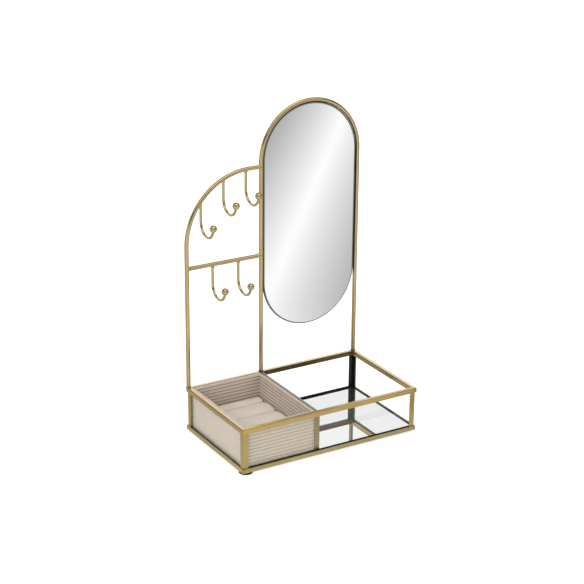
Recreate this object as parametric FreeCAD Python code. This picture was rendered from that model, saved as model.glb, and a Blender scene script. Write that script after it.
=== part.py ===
import FreeCAD, Part
import math
import os

from FreeCAD import Vector

# Countertop jewellery box: a brass-framed glass box with a mirror floor, a glass divider and a
# ribbed fabric tray with a ring cushion, and a wire stand with a capsule mirror and necklace hooks.
# Millimetres, +Z up, the front faces -Y. The origin is on the table under the middle of the box.

# Overall box
box_width = 240.0
box_depth = 140.0
box_height = 56.0
foot_height = 3.0
foot_radius = 8.5
foot_inset = 9.0

# Brass channel of the rim, brass angle of the base, and the corner posts inside them
angle_thickness = 1.3
angle_bend = 0.7
rim_height = 6.0
rim_inner_thickness = 0.9
base_height = 5.6
base_flange = 8.0
post_leg = 6.8
post_thickness = 0.7
post_bend = 0.5

# Glass, black sealing strips and floor
glass_thickness = 1.75
post_seal_thickness = 0.25
base_seal_proud = 1.3
rim_seal_height = 4.0
base_board_thickness = 1.5
floor_mirror_thickness = 1.8
floor_clearance = 0.2
pane_clearance = 0.1

# Divider between the tray bay and the open bay
tray_bay_width = 102.0
divider_thickness = 2.0
divider_drop = 0.5
channel_width = 6.6
channel_thickness = 0.8
channel_depth = 4.0
channel_clearance = 0.1

# Wire stand
wire_diameter = 5.2
bar_diameter = 5.2
upright_overhang = 0.6
right_leg_inset = 3.3
weld_gap = 0.1
stand_bend_height = 177.0
stand_bend_radius = 84.5
bar_height = 151.0
arch_spring_height = 266.9

# Capsule mirror in the arch
mirror_gap = 0.5
mirror_thickness = 2.0
mirror_bevel = 1.0
mirror_proud = 0.4
mirror_bottom_height = 50.7
mirror_back_thickness = 1.0
mirror_back_inset = 1.5
ear_height = 12.0
ear_offset = 24.0

# Necklace hooks
hook_wire_diameter = 3.0
hook_stem = 24.0
hook_radius = 15.4
hook_sweep = 178.0
bead_diameter = 8.8
bead_clearance = 0.05
upper_hook_count = 3
upper_hook_start = 20.6
upper_hook_pitch = 30.0
lower_hook_count = 2
lower_hook_start = 31.2
lower_hook_pitch = 34.6

# Ribbed fabric tray
tray_clearance = 0.4
tray_drop = 0.4
tray_wall = 3.2
tray_base_thickness = 2.5
tray_joint_clearance = 0.1
rib_pitch = 4.2
rib_depth = 0.7
tray_lip = 3.6
lip_set_back = 0.2

# Ring cushion in the tray
cushion_clearance = 0.6
cushion_rise = 21.0
cushion_board_thickness = 2.0
pad_count = 5
end_pad_width = 16.0
pad_slit = 0.6
pad_crown = 2.2
pad_end_rounding = 4.0
pad_cap_margin = 0.8

# Derived levels
base_z = foot_height
base_flange_top = base_z + angle_thickness
rim_top = base_z + box_height
rim_flange_bottom = rim_top - angle_thickness
rim_bottom = rim_top - rim_height
floor_z = base_flange_top + base_board_thickness + floor_mirror_thickness
wire_radius = wire_diameter / 2
bar_radius = bar_diameter / 2
hook_wire_radius = hook_wire_diameter / 2

# Derived wall build-up, counted inwards from the outer face of the rim and the base
post_inner = angle_thickness + post_thickness
glass_outer = post_inner + post_seal_thickness
wall = glass_outer + glass_thickness
rim_width = wall + pane_clearance + rim_inner_thickness

# Derived places in plan
half_width = box_width / 2
half_depth = box_depth / 2
inner_half_depth = half_depth - wall
divider_x = -half_width + tray_bay_width
left_leg_x = -half_width - upright_overhang + wire_radius
middle_leg_x = divider_x
right_leg_x = half_width - right_leg_inset
stand_y = half_depth - wire_radius
arch_x = (middle_leg_x + right_leg_x) / 2
arch_radius = (right_leg_x - middle_leg_x) / 2
arch_z = rim_top + arch_spring_height
bend_z = rim_top + stand_bend_height
bend_x = left_leg_x + stand_bend_radius
bar_z = rim_top + bar_height
mirror_radius = arch_radius - wire_radius - mirror_gap
mirror_low_z = rim_top + mirror_bottom_height + mirror_radius
mirror_face_y = stand_y - mirror_proud
mirror_rear_y = mirror_face_y + mirror_thickness

# Derived tray and cushion space
tray_left = -half_width + rim_width + tray_clearance
tray_right = divider_x - divider_thickness / 2 - channel_clearance - channel_thickness - tray_clearance
tray_half_depth = half_depth - rim_width - tray_clearance
tray_x = (tray_left + tray_right) / 2
tray_width = tray_right - tray_left
tray_depth = 2 * tray_half_depth
tray_height = rim_top - tray_drop - floor_z
tray_inner_width = tray_width - 2 * tray_wall
tray_inner_depth = tray_depth - 2 * tray_wall
tray_base_top = floor_z + tray_base_thickness
cushion_width = tray_inner_width - 2 * cushion_clearance
cushion_depth = tray_inner_depth - 2 * cushion_clearance
pad_bottom = tray_base_top + cushion_board_thickness
pad_height = cushion_rise - cushion_board_thickness
middle_pad_count = pad_count - 2
middle_pads_depth = cushion_depth - 2 * end_pad_width - (pad_count - 1) * pad_slit
middle_pad_width = middle_pads_depth / middle_pad_count

x_axis = Vector(1, 0, 0)
y_axis = Vector(0, 1, 0)
z_axis = Vector(0, 0, 1)


def box(x0, x1, y0, y1, z0, z1):
    """Upright block between two corners."""
    return Part.makeBox(x1 - x0, y1 - y0, z1 - z0, Vector(x0, y0, z0))


def prism(points, direction):
    """Flat polygon pushed along a direction."""
    wire = Part.makePolygon(points + [points[0]])
    return Part.Face(wire).extrude(direction)


def rod(start, end, radius):
    """Round wire from one point to another."""
    run = end - start
    return Part.makeCylinder(radius, run.Length, start, run)


def bent_rod(start, heading, centre, axis, angle, radius):
    """Round wire that turns by an angle about an axis through the bend's centre."""
    section = Part.Face(Part.Wire(Part.makeCircle(radius, start, heading)))
    return section.revolve(centre, axis, angle)


def one_solid(shapes):
    """Pieces of one wire joined end to end."""
    joined = shapes[0].multiFuse(shapes[1:])
    return joined.removeSplitter().Solids[0]


# The four sides: name, length, turn about Z and place of the middle of the outer face
def sides(width, depth, middle_x=0.0):
    return [
        ("front", width, 0, Vector(middle_x, -depth / 2, 0)),
        ("right", depth, 90, Vector(middle_x + width / 2, 0, 0)),
        ("back", width, 180, Vector(middle_x, depth / 2, 0)),
        ("left", depth, 270, Vector(middle_x - width / 2, 0, 0)),
    ]


def on_side(shape, turn, place):
    """Set a shape drawn along X, with Y inwards from the outer face, on its side of the box."""
    shape = shape.copy()
    shape.rotate(Vector(0, 0, 0), z_axis, turn)
    shape.translate(place)
    return shape


def mitred(face, length, width, z_low, z_high):
    """Push a section in the YZ plane along X and cut both ends at 45 degrees."""
    bar = face.extrude(Vector(length, 0, 0))
    bar.translate(Vector(-length / 2, 0, 0))
    half = length / 2
    outline = [
        Vector(-half, 0, z_low),
        Vector(half, 0, z_low),
        Vector(half - width, width, z_low),
        Vector(-half + width, width, z_low),
    ]
    return bar.common(prism(outline, Vector(0, 0, z_high - z_low))).Solids[0]


def profile_face(edges):
    return Part.Face(Part.Wire(edges))


def line(a, b):
    return Part.makeLine(Vector(0, a[0], a[1]), Vector(0, b[0], b[1]))


def arc(a, via, b):
    return Part.Arc(Vector(0, a[0], a[1]), Vector(0, via[0], via[1]), Vector(0, b[0], b[1])).toShape()


def bend(y, z, inwards, up):
    """Rounded outside corner of bent sheet, from its upright face to its flat one."""
    r = angle_bend
    s = r * (1 - math.sqrt(0.5))
    return arc((y, z + up * r), (y + inwards * s, z + up * s), (y + inwards * r, z))


def angle_section(leg_height, flange_width, z_low):
    """Brass angle of the base: an upright leg at y = 0 and a flange under the floor."""
    t = angle_thickness
    r = angle_bend
    z_high = z_low + leg_height
    return profile_face([
        bend(0, z_low, 1, 1),
        line((r, z_low), (flange_width, z_low)),
        line((flange_width, z_low), (flange_width, z_low + t)),
        line((flange_width, z_low + t), (t, z_low + t)),
        line((t, z_low + t), (t, z_high)),
        line((t, z_high), (0, z_high)),
        line((0, z_high), (0, z_low + r)),
    ])


def channel_section():
    """Brass channel of the rim, open downwards: it holds the upper edge of a pane between its legs."""
    t = angle_thickness
    r = angle_bend
    inner = rim_width - rim_inner_thickness
    return profile_face([
        bend(0, rim_top, 1, -1),
        line((r, rim_top), (rim_width - r, rim_top)),
        bend(rim_width, rim_top, -1, -1),
        line((rim_width, rim_top - r), (rim_width, rim_bottom)),
        line((rim_width, rim_bottom), (inner, rim_bottom)),
        line((inner, rim_bottom), (inner, rim_flange_bottom)),
        line((inner, rim_flange_bottom), (t, rim_flange_bottom)),
        line((t, rim_flange_bottom), (t, rim_bottom)),
        line((t, rim_bottom), (0, rim_bottom)),
        line((0, rim_bottom), (0, rim_top - r)),
    ])


def frame_rails(prefix, section, width):
    """Four mitred brass bars round the box."""
    rails = {}
    for name, length, turn, place in sides(box_width, box_depth):
        rail = mitred(section, length, width, base_z, rim_top)
        rails[prefix + name] = on_side(rail, turn, place)
    return rails


# The four corners: name, turn about Z and place of the post's outer corner
corner_x = half_width - angle_thickness
corner_y = half_depth - angle_thickness
corners = [
    ("front_left", 0, Vector(-corner_x, -corner_y, 0)),
    ("front_right", 90, Vector(corner_x, -corner_y, 0)),
    ("back_right", 180, Vector(corner_x, corner_y, 0)),
    ("back_left", 270, Vector(-corner_x, corner_y, 0)),
]


def corner_angle(outer, inner, z_low, z_high):
    """Upright angle with its outside faces `outer` and its inside faces `inner` from the corner."""
    outline = [
        Vector(outer, outer, z_low),
        Vector(post_leg, outer, z_low),
        Vector(post_leg, inner, z_low),
        Vector(inner, inner, z_low),
        Vector(inner, post_leg, z_low),
        Vector(outer, post_leg, z_low),
    ]
    return prism(outline, Vector(0, 0, z_high - z_low))


def corner_posts():
    post = corner_angle(0, post_thickness, base_flange_top, rim_flange_bottom)
    bend = [e for e in post.Edges if abs(e.CenterOfMass.x) + abs(e.CenterOfMass.y) < 1e-6]
    post = post.makeFillet(post_bend, bend)
    return {"post_" + name: on_side(post, turn, place) for name, turn, place in corners}


def post_seals():
    seal_inner = post_thickness + post_seal_thickness
    seal = corner_angle(post_thickness, seal_inner, base_flange_top, rim_flange_bottom)
    return Part.makeCompound([on_side(seal, turn, place) for name, turn, place in corners])


def pane_seals(z_low, z_high):
    """Black strips between the brass angle and the panes, from post to post."""
    strips = []
    for name, length, turn, place in sides(box_width, box_depth):
        half = length / 2 - angle_thickness - post_leg
        strip = box(-half, half, angle_thickness, glass_outer, z_low, z_high)
        strips.append(on_side(strip, turn, place))
    return Part.makeCompound(strips)


def glass_panes():
    """Front and back panes run the full width, the side panes stand between them."""
    panes = {}
    for name, length, turn, place in sides(box_width, box_depth):
        end = glass_outer if name in ("front", "back") else wall + pane_clearance
        half = length / 2 - end
        pane = box(-half, half, glass_outer, wall, base_flange_top, rim_flange_bottom)
        panes["glass_" + name] = on_side(pane, turn, place)
    return panes


def floor_sheet(z_low, thickness):
    x = half_width - wall - floor_clearance
    y = inner_half_depth - floor_clearance
    return box(-x, x, -y, y, z_low, z_low + thickness)


def rubber_feet():
    x = half_width - foot_inset
    y = half_depth - foot_inset
    pads = []
    for place in (Vector(-x, -y, 0), Vector(x, -y, 0), Vector(x, y, 0), Vector(-x, y, 0)):
        pads.append(Part.makeCylinder(foot_radius, foot_height, place))
    return Part.makeCompound(pads)


def divider_glass():
    half = divider_thickness / 2
    y = half_depth - rim_width - channel_clearance
    return box(divider_x - half, divider_x + half, -y, y, floor_z, rim_top - divider_drop)


def divider_channel():
    """Brass strip with two lips that hold the edge of the divider, drawn for the front pane.

    It stands on the floor mirror and ends under the inner leg of the rim.
    """
    slot = divider_thickness / 2 + channel_clearance
    lip = slot + channel_thickness
    web = channel_width / 2
    y0 = -inner_half_depth
    y1 = y0 + channel_thickness
    y2 = y0 + channel_depth
    outline = [(-web, y0), (web, y0), (web, y1), (lip, y1), (lip, y2), (slot, y2)]
    outline += [(slot, y1), (-slot, y1), (-slot, y2), (-lip, y2), (-lip, y1), (-web, y1)]
    points = [Vector(divider_x + x, y, floor_z) for x, y in outline]
    return prism(points, Vector(0, 0, rim_bottom - floor_z))


def mirror_arch():
    """One wire bent to an upside-down U, standing on the rear rim."""
    left_foot = Vector(middle_leg_x, stand_y, rim_top)
    right_foot = Vector(right_leg_x, stand_y, rim_top)
    left_top = Vector(middle_leg_x, stand_y, arch_z)
    right_top = Vector(right_leg_x, stand_y, arch_z)
    centre = Vector(arch_x, stand_y, arch_z)
    bow = bent_rod(left_top, z_axis, centre, y_axis, 180, wire_radius)
    legs = [rod(left_foot, left_top, wire_radius), rod(right_foot, right_top, wire_radius)]
    return one_solid([bow] + legs)


def leg_room(x):
    """Space that an upright wire takes, with the gap left for the weld."""
    low = Vector(x, stand_y, rim_top)
    high = Vector(x, stand_y, arch_z)
    return rod(low, high, wire_radius + weld_gap)


def stand_wire(radius):
    """Left upright, its quarter bend and the run to the arch, as pieces of one round wire."""
    foot = Vector(left_leg_x, stand_y, rim_top)
    bend_start = Vector(left_leg_x, stand_y, bend_z)
    bend_centre = Vector(bend_x, stand_y, bend_z)
    bend_end = Vector(bend_x, stand_y, bend_z + stand_bend_radius)
    arch_end = Vector(middle_leg_x, stand_y, bend_z + stand_bend_radius)
    pieces = [
        bent_rod(bend_start, z_axis, bend_centre, y_axis, 90, radius),
        rod(foot, bend_start, radius),
        rod(bend_end, arch_end, radius),
    ]
    return one_solid(pieces)


def left_upright():
    return stand_wire(wire_radius).cut(leg_room(middle_leg_x)).Solids[0]


def cross_bar():
    start = Vector(left_leg_x, stand_y, bar_z)
    end = Vector(middle_leg_x, stand_y, bar_z)
    bar = rod(start, end, bar_radius)
    return bar.cut(leg_room(left_leg_x)).cut(leg_room(middle_leg_x)).Solids[0]


def stand_height(x):
    """Height of the stand wire's centre line over a place on its bend or its top run."""
    if x >= bend_x:
        return bend_z + stand_bend_radius
    return bend_z + math.sqrt(stand_bend_radius ** 2 - (x - bend_x) ** 2)


def hook_curve(x, z_top, radius):
    """The turn of a hook, from the foot of its stem forwards and up to the bead."""
    start = Vector(x, stand_y, z_top - hook_stem)
    centre = Vector(x, stand_y - hook_radius, z_top - hook_stem)
    return bent_rod(start, z_axis, centre, -x_axis, hook_sweep, radius)


def hook(x, z_top, carrier):
    stem = rod(Vector(x, stand_y, z_top), Vector(x, stand_y, z_top - hook_stem), hook_wire_radius)
    wire = one_solid([hook_curve(x, z_top, hook_wire_radius), stem])
    return wire.cut(carrier).Solids[0]


def bead(x, z_top):
    """Ball with a blind bore that follows the end of the hook."""
    turn = math.radians(hook_sweep)
    forward = hook_radius * (1 - math.cos(turn))
    drop = hook_stem + hook_radius * math.sin(turn)
    ball = Part.makeSphere(bead_diameter / 2, Vector(x, stand_y - forward, z_top - drop), z_axis)
    return ball.cut(hook_curve(x, z_top, hook_wire_radius + bead_clearance)).Solids[0]


def hooks_and_beads():
    upper_room = stand_wire(wire_radius + weld_gap)
    bar_start = Vector(left_leg_x, stand_y, bar_z)
    bar_end = Vector(middle_leg_x, stand_y, bar_z)
    lower_room = rod(bar_start, bar_end, bar_radius + weld_gap)
    nodes = {}
    beads = []
    for i in range(upper_hook_count):
        x = middle_leg_x - upper_hook_start - i * upper_hook_pitch
        nodes["hook_upper_%d" % (i + 1)] = hook(x, stand_height(x), upper_room)
        beads.append(bead(x, stand_height(x)))
    for i in range(lower_hook_count):
        x = middle_leg_x - lower_hook_start - i * lower_hook_pitch
        nodes["hook_lower_%d" % (i + 1)] = hook(x, bar_z, lower_room)
        beads.append(bead(x, bar_z))
    nodes["hook_beads"] = Part.makeCompound(beads)
    return nodes


def capsule(radius, y_front, thickness):
    """Upright plate with half-round ends, concentric with the arch."""
    left = arch_x - radius
    right = arch_x + radius
    top = Part.Arc(
        Vector(left, y_front, arch_z),
        Vector(arch_x, y_front, arch_z + radius),
        Vector(right, y_front, arch_z),
    )
    bottom = Part.Arc(
        Vector(right, y_front, mirror_low_z),
        Vector(arch_x, y_front, mirror_low_z - radius),
        Vector(left, y_front, mirror_low_z),
    )
    right_side = Part.LineSegment(Vector(right, y_front, arch_z), Vector(right, y_front, mirror_low_z))
    left_side = Part.LineSegment(Vector(left, y_front, mirror_low_z), Vector(left, y_front, arch_z))
    wire = Part.Wire([c.toShape() for c in (top, right_side, bottom, left_side)])
    return Part.Face(wire).extrude(Vector(0, thickness, 0))


def mirror_glass():
    """Mirror plate with its front edge ground to a bevel."""
    plate = capsule(mirror_radius, mirror_face_y, mirror_thickness)
    front = [e for e in plate.Edges if e.BoundBox.YMax < mirror_face_y + mirror_bevel]
    return plate.makeChamfer(mirror_bevel, front)


def mirror_back():
    """Metal back plate with four ears that reach the arch's legs."""
    plate = capsule(mirror_radius - mirror_back_inset, mirror_rear_y, mirror_back_thickness)
    rear = mirror_rear_y + mirror_back_thickness
    ears = []
    for z in (mirror_low_z + ear_offset, arch_z - ear_offset):
        low = z - ear_height / 2
        high = z + ear_height / 2
        ears.append(box(middle_leg_x, arch_x, mirror_rear_y, rear, low, high))
        ears.append(box(arch_x, right_leg_x, mirror_rear_y, rear, low, high))
    plate = plate.multiFuse(ears).removeSplitter()
    for x in (middle_leg_x, right_leg_x):
        plate = plate.cut(leg_room(x))
    return max(plate.Solids, key=lambda solid: solid.Volume)


def tray_wall_section():
    """Wall of the tray: padded horizontal ribs on both faces under a smooth rounded lip."""
    count = max(1, int((tray_height - tray_lip) / rib_pitch))
    step = (tray_height - tray_lip) / count
    outer = rib_depth
    inner = tray_wall - rib_depth
    edges = []
    for i in range(count):
        z = floor_z + i * step
        edges.append(arc((outer, z), (0, z + step / 2), (outer, z + step)))
    lip_z = floor_z + count * step
    top_z = floor_z + tray_height
    middle = tray_wall / 2
    lip_middle = (lip_z + top_z) / 2
    edges.append(arc((outer, lip_z), (lip_set_back, lip_middle), (middle, top_z)))
    edges.append(arc((middle, top_z), (tray_wall - lip_set_back, lip_middle), (inner, lip_z)))
    for i in reversed(range(count)):
        z = floor_z + i * step
        edges.append(arc((inner, z + step), (tray_wall, z + step / 2), (inner, z)))
    edges.append(line((inner, floor_z), (outer, floor_z)))
    return profile_face(edges)


def tray_parts():
    nodes = {}
    section = tray_wall_section()
    for name, length, turn, place in sides(tray_width, tray_depth, tray_x):
        panel = mitred(section, length, tray_wall, floor_z, floor_z + tray_height)
        nodes["tray_wall_" + name] = on_side(panel, turn, place)
    x = tray_inner_width / 2 - tray_joint_clearance
    y = tray_inner_depth / 2 - tray_joint_clearance
    nodes["tray_base"] = box(tray_x - x, tray_x + x, -y, y, floor_z, tray_base_top)
    return nodes


def ring_pad(y_low, width):
    """Foam strip under fabric: crowned along its length, with soft ends and rounded corners.

    The ends round over from a cap level a little above the crown, so that the two meet at an angle.
    """
    half = cushion_width / 2
    high = pad_bottom + pad_height
    shoulder = high - pad_crown
    cap = high + pad_cap_margin
    left = tray_x - half
    right = tray_x + half
    r = pad_end_rounding
    s = r * (1 - math.sqrt(0.5))
    crown = profile_face([
        line((y_low, pad_bottom), (y_low, shoulder)),
        arc((y_low, shoulder), (y_low + width / 2, high), (y_low + width, shoulder)),
        line((y_low + width, shoulder), (y_low + width, pad_bottom)),
        line((y_low + width, pad_bottom), (y_low, pad_bottom)),
    ]).extrude(Vector(2 * half, 0, 0))
    crown.translate(Vector(left, 0, 0))
    block = box(left, right, y_low, y_low + width, pad_bottom, cap)
    upright = [e for e in block.Edges if abs(e.tangentAt(e.FirstParameter).z) > 0.9]
    rounded = block.makeFillet(r, upright)
    ends = [
        Part.makeLine(Vector(left, y_low, pad_bottom), Vector(left, y_low, cap - r)),
        Part.Arc(
            Vector(left, y_low, cap - r), Vector(left + s, y_low, cap - s), Vector(left + r, y_low, cap)
        ).toShape(),
        Part.makeLine(Vector(left + r, y_low, cap), Vector(right - r, y_low, cap)),
        Part.Arc(
            Vector(right - r, y_low, cap), Vector(right - s, y_low, cap - s), Vector(right, y_low, cap - r)
        ).toShape(),
        Part.makeLine(Vector(right, y_low, cap - r), Vector(right, y_low, pad_bottom)),
        Part.makeLine(Vector(right, y_low, pad_bottom), Vector(left, y_low, pad_bottom)),
    ]
    soft_ends = Part.Face(Part.Wire(ends)).extrude(Vector(0, width, 0))
    return crown.common(rounded).common(soft_ends).Solids[0]


def cushion_parts():
    nodes = {}
    x = cushion_width / 2
    y = cushion_depth / 2
    nodes["cushion_board"] = box(tray_x - x, tray_x + x, -y, y, tray_base_top, pad_bottom)
    y_low = -y
    for i in range(pad_count):
        width = end_pad_width if i in (0, pad_count - 1) else middle_pad_width
        nodes["ring_pad_%d" % (i + 1)] = ring_pad(y_low, width)
        y_low += width + pad_slit
    return nodes


def build():
    nodes = {"rubber_feet": rubber_feet()}
    nodes.update(frame_rails("base_rail_", angle_section(base_height, base_flange, base_z), base_flange))
    nodes["base_board"] = floor_sheet(base_flange_top, base_board_thickness)
    nodes["floor_mirror"] = floor_sheet(base_flange_top + base_board_thickness, floor_mirror_thickness)
    nodes["base_seals"] = pane_seals(base_flange_top, base_z + base_height + base_seal_proud)
    nodes.update(corner_posts())
    nodes["post_seals"] = post_seals()
    nodes.update(glass_panes())
    nodes.update(frame_rails("rim_", channel_section(), rim_width))
    nodes["rim_seals"] = pane_seals(rim_flange_bottom - rim_seal_height, rim_flange_bottom)
    nodes["divider_glass"] = divider_glass()
    front_channel = divider_channel()
    nodes["divider_channel_front"] = front_channel
    nodes["divider_channel_back"] = front_channel.mirror(Vector(0, 0, 0), y_axis)
    nodes["mirror_arch"] = mirror_arch()
    nodes["left_upright"] = left_upright()
    nodes["cross_bar"] = cross_bar()
    nodes.update(hooks_and_beads())
    nodes["mirror_glass"] = mirror_glass()
    nodes["mirror_back"] = mirror_back()
    nodes.update(tray_parts())
    nodes.update(cushion_parts())
    return nodes


os.makedirs("parts", exist_ok=True)
for node, shape in build().items():
    shape.exportStep("parts/%s.step" % node)
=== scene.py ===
import math

import bpy
import numpy as np
from mathutils import Matrix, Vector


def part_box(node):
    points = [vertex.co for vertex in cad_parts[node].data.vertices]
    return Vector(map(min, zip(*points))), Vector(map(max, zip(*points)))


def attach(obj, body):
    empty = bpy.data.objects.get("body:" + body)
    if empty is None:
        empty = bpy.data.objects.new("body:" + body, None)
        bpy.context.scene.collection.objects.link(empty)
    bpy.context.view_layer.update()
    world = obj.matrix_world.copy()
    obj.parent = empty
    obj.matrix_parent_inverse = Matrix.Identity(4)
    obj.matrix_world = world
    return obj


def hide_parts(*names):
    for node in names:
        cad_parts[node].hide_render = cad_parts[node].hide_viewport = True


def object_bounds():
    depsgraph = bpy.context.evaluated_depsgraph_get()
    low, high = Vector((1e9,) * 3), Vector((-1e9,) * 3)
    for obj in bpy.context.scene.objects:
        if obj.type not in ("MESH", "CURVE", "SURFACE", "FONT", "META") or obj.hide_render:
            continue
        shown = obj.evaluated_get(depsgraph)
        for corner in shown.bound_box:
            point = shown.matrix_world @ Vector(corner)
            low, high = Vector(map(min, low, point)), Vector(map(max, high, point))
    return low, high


# Brass-framed glass jewellery box with a mirror floor, a ribbed tray with a ring cushion, and a
# wire stand with a capsule mirror. Metres, +Z up, the front faces -Y.

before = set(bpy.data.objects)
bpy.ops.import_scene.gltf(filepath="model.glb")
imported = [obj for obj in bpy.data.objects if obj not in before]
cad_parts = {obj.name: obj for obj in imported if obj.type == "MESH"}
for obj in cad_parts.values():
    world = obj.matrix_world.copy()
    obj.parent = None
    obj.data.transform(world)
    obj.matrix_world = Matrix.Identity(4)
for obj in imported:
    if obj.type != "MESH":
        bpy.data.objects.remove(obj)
cad_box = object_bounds()
mm = 0.001


# Node expressions

class Signal:
    """A socket of a node tree. Arithmetic on it adds the Math nodes that work the result out."""

    def __init__(self, tree, socket=None):
        self.tree = tree
        self.socket = socket

    def node(self, kind, settings, sockets, out=0):
        """Adds a node: its settings, then the values or links of its sockets. Gives one output."""
        made = self.tree.nodes.new(kind)
        for name, value in settings.items():
            setattr(made, name, value)
        for name, value in sockets.items():
            feed(self.tree, made.inputs[name], value)
        return Signal(self.tree, made.outputs[out])

    def math(self, operation, *values):
        return self.node("ShaderNodeMath", {"operation": operation}, dict(enumerate(values)))

    def __add__(self, other):
        return self.math("ADD", self, other)

    __radd__ = __add__

    def __sub__(self, other):
        return self.math("SUBTRACT", self, other)

    def __rsub__(self, other):
        return self.math("SUBTRACT", other, self)

    def __mul__(self, other):
        return self.math("MULTIPLY", self, other)

    __rmul__ = __mul__

    def __truediv__(self, other):
        return self.math("DIVIDE", self, other)

    def __pow__(self, other):
        return self.math("POWER", self, other)

    def __abs__(self):
        return self.math("ABSOLUTE", self)

    def step(self, low, high):
        """0 below low, 1 above high, a smooth rise between them."""
        return self.node(
            "ShaderNodeMapRange", {"interpolation_type": "SMOOTHSTEP"},
            {"Value": self, "From Min": low, "From Max": high})

    def between(self, low, high):
        """The value kept between two bounds."""
        return self.math("MAXIMUM", self.math("MINIMUM", self, high), low)

    def blend(self, dark, light):
        """A colour between two others, this value being the share of the second."""
        return self.node(
            "ShaderNodeMix", {"data_type": "RGBA"}, {0: self, 6: rgba(dark), 7: rgba(light)}, 2)

    def axes(self):
        """The three numbers of a vector."""
        split = self.node("ShaderNodeSeparateXYZ", {}, {0: self})
        outputs = split.socket.node.outputs
        return [Signal(self.tree, outputs[i]) for i in range(3)]

    def noise(self, scale, detail=2.0, rough=0.5, stretch=None):
        """Noise on a vector, from 0 to 1; stretch scales the vector's axes first."""
        place = self
        if stretch:
            place = self.node("ShaderNodeMapping", {}, {"Vector": self, "Scale": stretch})
        return self.node(
            "ShaderNodeTexNoise", {},
            {"Vector": place, "Scale": scale, "Detail": detail, "Roughness": rough}, "Fac")

    def bump(self, distance, strength=1.0):
        """A normal that tilts as if this height, times the distance, stood on the surface."""
        return self.node(
            "ShaderNodeBump", {}, {"Height": self, "Distance": distance, "Strength": strength})


def rgba(colour):
    return colour if isinstance(colour, Signal) else (*colour, 1.0)


def feed(tree, socket, value):
    """Links a signal to a socket, or sets the socket's own value."""
    if isinstance(value, Signal):
        tree.links.new(value.socket, socket)
    else:
        socket.default_value = value


def finish_of(name, recipe, *facts):
    """A material whose recipe gives, from Object coordinates, what goes into the Principled sockets."""
    material = bpy.data.materials.new(name)
    material.use_nodes = True
    tree = material.node_tree
    shader = next(n for n in tree.nodes if n.type == "BSDF_PRINCIPLED")
    place = Signal(tree).node("ShaderNodeTexCoord", {}, {}, "Object")
    for socket, value in recipe(place, *facts).items():
        feed(tree, shader.inputs[socket], value)
    return material


# Finishes

rubbed_gold = (0.80, 0.66, 0.37)
pale_gold = (0.86, 0.77, 0.56)
# Brown of heat tint at soldered corners, also used for painted shade at the wires' feet
tarnish_and_shade_brown = (0.26, 0.15, 0.055)
# Nearly black: painted shade in the crease where each wire stands on the rim
foot_shade_black = (0.05, 0.034, 0.012)
# Painted shade for the rim's bends and its leg inside the box
painted_shade_brown = (0.15, 0.10, 0.034)
# Dark of the adhesive on the posts, also used for painted shade on the arch's inner side by the mirror
adhesive_and_shade_dark = (0.045, 0.036, 0.014)
# Pale brass tone where the black strip is thin, raised as painted light against the shade
brass_through_painted_light = (0.62, 0.52, 0.38)
glass_tint = (0.93, 0.97, 0.95)
dusty_silver = (0.84, 0.85, 0.86)
# Painted shade for the band round the stand mirror's outline
outline_shade = (0.135, 0.14, 0.125)
# Painted light: paler pile for the tray's outer faces, palest on the left
outer_pile_painted_light = (0.69, 0.60, 0.472)
left_pile_painted_light = (0.78, 0.675, 0.56)
# Painted shade for the grooves between the ribs
groove_shade = (0.14, 0.11, 0.085)


def inset(x, y, wide, deep):
    """How far in from the nearest side of a box a place is, given half the box's width and depth."""
    return x.math("MINIMUM", wide - abs(x), deep - abs(y))


def brass(place, tones, along, rough, corner=None, weld=None, bond_and_shade=None):
    """Satin brass plate. Fine brush lines run along the piece, broad clouds shift the tone between
    two golds, and small specks of tarnish roughen it. A corner, given as the half width, half depth
    and height of a bent edge round the box, is rubbed bright: the rub falls off with the distance from
    that edge, the root of the two gaps squared and added. Near the soldered corners of the box the
    brass is browned by the heat. Just over the height of a weld, where a wire stands on the rim, it is
    browned and darkened nearly black: painted shade in the crease at the wire's foot. A bond, given as
    a mask from 0 to 1, is dark: adhesive on the posts, painted shade on the arch's side by the mirror."""
    lines = place.noise(900.0, 3.0, 0.6, along)
    clouds = place.noise(45.0, 3.0)
    specks = place.noise(380.0, 2.0).step(0.60, 0.78)
    tone = (0.55 * clouds + 0.45 * lines).step(0.3, 0.7)
    rub = 0.25 * clouds.step(0.45, 0.7)
    tarnish_and_shade = 0.18 * specks
    x, y, z = place.axes()
    if corner:
        wide, deep, height = corner
        side = inset(x, y, wide, deep)
        gap = (side * side + (z - height) * (z - height)) ** 0.5
        rub = rub + (1.0 - gap.step(0.15 * mm, 0.9 * mm)) * clouds.step(0.25, 0.6)
        solder = x.math("MAXIMUM", wide - abs(x), deep - abs(y))
        tarnish_and_shade = tarnish_and_shade + 0.35 * (1.0 - solder.step(2.0 * mm, 5.5 * mm)) * clouds.step(0.35, 0.6)
    # Painted shade at a wire's foot, just over the rim's top: browned
    if weld:
        tarnish_and_shade = tarnish_and_shade + 0.75 * (1.0 - (z - weld).step(0.4 * mm, 3.2 * mm)) * lines.step(0.38, 0.55)
    worn = (0.45 * rub).between(0.0, 1.0).blend(tone.blend(*tones), rubbed_gold)
    colour = tarnish_and_shade.between(0.0, 1.0).blend(worn, tarnish_and_shade_brown)
    # Painted shade at a wire's foot: darkened nearly black just over the rim's top
    if weld:
        foot_shade = (1.0 - (z - weld).step(0.6 * mm, 2.4 * mm)) * clouds.step(0.30, 0.50)
        colour = (0.85 * foot_shade).blend(colour, foot_shade_black)
    # The bond's dark: adhesive on the posts, painted shade on the arch's inner side
    if bond_and_shade:
        colour = bond_and_shade(place).blend(colour, adhesive_and_shade_dark)
    return {
        "Base Color": colour,
        "Metallic": 1.0,
        "Roughness": rough + 0.09 * lines + 0.05 * clouds + 0.10 * specks - 0.05 * rub,
        "Coat Weight": 0.35,
        "Coat Roughness": 0.16,
        "Normal": (lines + 0.6 * clouds).bump(0.00004, 0.2),
    }


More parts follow.
